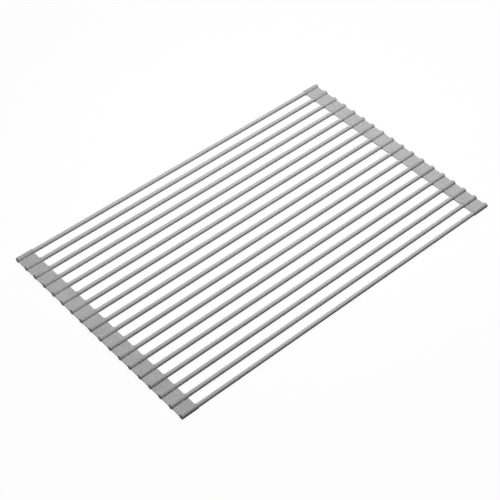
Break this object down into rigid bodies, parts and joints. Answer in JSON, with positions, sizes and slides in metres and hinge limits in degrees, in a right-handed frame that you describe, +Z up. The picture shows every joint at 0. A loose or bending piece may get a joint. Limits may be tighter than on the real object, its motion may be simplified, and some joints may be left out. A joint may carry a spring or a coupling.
{
  "type": "roll up dish drying rack",
  "caption": "Roll-up dish drying rack: a row of coated steel rods joined at both ends by flexible silicone strips, laid flat over a sink or worktop to drain dishes.",
  "frame": {"origin": "centre of the underside of the flat rack", "axes": "+X along the rods, +Y across them, from the free end that is rolled up first towards the end that stays, +Z up"},
  "size_m": [0.52, 0.3278, 0.0074],
  "materials": {
    "rod_coat": "matte grey silicone skin bonded to a steel tube",
    "strip_silicone": "matte mid-grey moulded silicone"
  },
  "bodies": {
    "bar_01": {"rod_01": "rod_coat", "left_link_01": "strip_silicone", "right_link_01": "strip_silicone"},
    "bar_02": {"rod_02": "rod_coat", "left_link_02": "strip_silicone", "right_link_02": "strip_silicone"},
    "bar_03": {"rod_03": "rod_coat", "left_link_03": "strip_silicone", "right_link_03": "strip_silicone"},
    "bar_04": {"rod_04": "rod_coat", "left_link_04": "strip_silicone", "right_link_04": "strip_silicone"},
    "bar_05": {"rod_05": "rod_coat", "left_link_05": "strip_silicone", "right_link_05": "strip_silicone"},
    "bar_06": {"rod_06": "rod_coat", "left_link_06": "strip_silicone", "right_link_06": "strip_silicone"},
    "bar_07": {"rod_07": "rod_coat", "left_link_07": "strip_silicone", "right_link_07": "strip_silicone"},
    "bar_08": {"rod_08": "rod_coat", "left_link_08": "strip_silicone", "right_link_08": "strip_silicone"},
    "bar_09": {"rod_09": "rod_coat", "left_link_09": "strip_silicone", "right_link_09": "strip_silicone"},
    "bar_10": {"rod_10": "rod_coat", "left_link_10": "strip_silicone", "right_link_10": "strip_silicone"},
    "bar_11": {"rod_11": "rod_coat", "left_link_11": "strip_silicone", "right_link_11": "strip_silicone"},
    "bar_12": {"rod_12": "rod_coat", "left_link_12": "strip_silicone", "right_link_12": "strip_silicone"},
    "bar_13": {"rod_13": "rod_coat", "left_link_13": "strip_silicone", "right_link_13": "strip_silicone"},
    "bar_14": {"rod_14": "rod_coat", "left_link_14": "strip_silicone", "right_link_14": "strip_silicone"},
    "bar_15": {"rod_15": "rod_coat", "left_link_15": "strip_silicone", "right_link_15": "strip_silicone"},
    "bar_16": {"rod_16": "rod_coat", "left_link_16": "strip_silicone", "right_link_16": "strip_silicone"},
    "bar_17": {"rod_17": "rod_coat", "left_link_17": "strip_silicone", "right_link_17": "strip_silicone"},
    "bar_18": {"rod_18": "rod_coat", "left_link_18": "strip_silicone", "right_link_18": "strip_silicone"}
  },
  "joints": [
    {"name": "bend_01_02", "type": "hinge", "parent": "bar_01", "child": "bar_02", "pos_m": [0, 0.1508, 0.00368], "axis": [-1, 0, 0], "range_deg": [0, 32], "stiffness_Nm_per_rad": 0.005},
    {"name": "bend_02_03", "type": "hinge", "parent": "bar_02", "child": "bar_03", "pos_m": [0, 0.13195, 0.00368], "axis": [-1, 0, 0], "range_deg": [0, 32], "stiffness_Nm_per_rad": 0.005},
    {"name": "bend_03_04", "type": "hinge", "parent": "bar_03", "child": "bar_04", "pos_m": [0, 0.1131, 0.00368], "axis": [-1, 0, 0], "range_deg": [0, 33], "stiffness_Nm_per_rad": 0.005},
    {"name": "bend_04_05", "type": "hinge", "parent": "bar_04", "child": "bar_05", "pos_m": [0, 0.09425, 0.00368], "axis": [-1, 0, 0], "range_deg": [0, 34], "stiffness_Nm_per_rad": 0.005},
    {"name": "bend_05_06", "type": "hinge", "parent": "bar_05", "child": "bar_06", "pos_m": [0, 0.0754, 0.00368], "axis": [-1, 0, 0], "range_deg": [0, 35], "stiffness_Nm_per_rad": 0.005},
    {"name": "bend_06_07", "type": "hinge", "parent": "bar_06", "child": "bar_07", "pos_m": [0, 0.05655, 0.00368], "axis": [-1, 0, 0], "range_deg": [0, 36], "stiffness_Nm_per_rad": 0.005},
    {"name": "bend_07_08", "type": "hinge", "parent": "bar_07", "child": "bar_08", "pos_m": [0, 0.0377, 0.00368], "axis": [-1, 0, 0], "range_deg": [0, 38], "stiffness_Nm_per_rad": 0.005},
    {"name": "bend_08_09", "type": "hinge", "parent": "bar_08", "child": "bar_09", "pos_m": [0, 0.01885, 0.00368], "axis": [-1, 0, 0], "range_deg": [0, 39], "stiffness_Nm_per_rad": 0.005},
    {"name": "bend_09_10", "type": "hinge", "parent": "bar_09", "child": "bar_10", "pos_m": [0, 0, 0.00368], "axis": [-1, 0, 0], "range_deg": [0, 41], "stiffness_Nm_per_rad": 0.005},
    {"name": "bend_10_11", "type": "hinge", "parent": "bar_10", "child": "bar_11", "pos_m": [0, -0.01885, 0.00368], "axis": [-1, 0, 0], "range_deg": [0, 42], "stiffness_Nm_per_rad": 0.005},
    {"name": "bend_11_12", "type": "hinge", "parent": "bar_11", "child": "bar_12", "pos_m": [0, -0.0377, 0.00368], "axis": [-1, 0, 0], "range_deg": [0, 44], "stiffness_Nm_per_rad": 0.005},
    {"name": "bend_12_13", "type": "hinge", "parent": "bar_12", "child": "bar_13", "pos_m": [0, -0.05655, 0.00368], "axis": [-1, 0, 0], "range_deg": [0, 46], "stiffness_Nm_per_rad": 0.005},
    {"name": "bend_13_14", "type": "hinge", "parent": "bar_13", "child": "bar_14", "pos_m": [0, -0.0754, 0.00368], "axis": [-1, 0, 0], "range_deg": [0, 49], "stiffness_Nm_per_rad": 0.005},
    {"name": "bend_14_15", "type": "hinge", "parent": "bar_14", "child": "bar_15", "pos_m": [0, -0.09425, 0.00368], "axis": [-1, 0, 0], "range_deg": [0, 52], "stiffness_Nm_per_rad": 0.005},
    {"name": "bend_15_16", "type": "hinge", "parent": "bar_15", "child": "bar_16", "pos_m": [0, -0.1131, 0.00368], "axis": [-1, 0, 0], "range_deg": [0, 56], "stiffness_Nm_per_rad": 0.005},
    {"name": "bend_16_17", "type": "hinge", "parent": "bar_16", "child": "bar_17", "pos_m": [0, -0.13195, 0.00368], "axis": [-1, 0, 0], "range_deg": [0, 61], "stiffness_Nm_per_rad": 0.005},
    {"name": "bend_17_18", "type": "hinge", "parent": "bar_17", "child": "bar_18", "pos_m": [0, -0.1508, 0.00368], "axis": [-1, 0, 0], "range_deg": [0, 67], "stiffness_Nm_per_rad": 0.005}
  ]
}
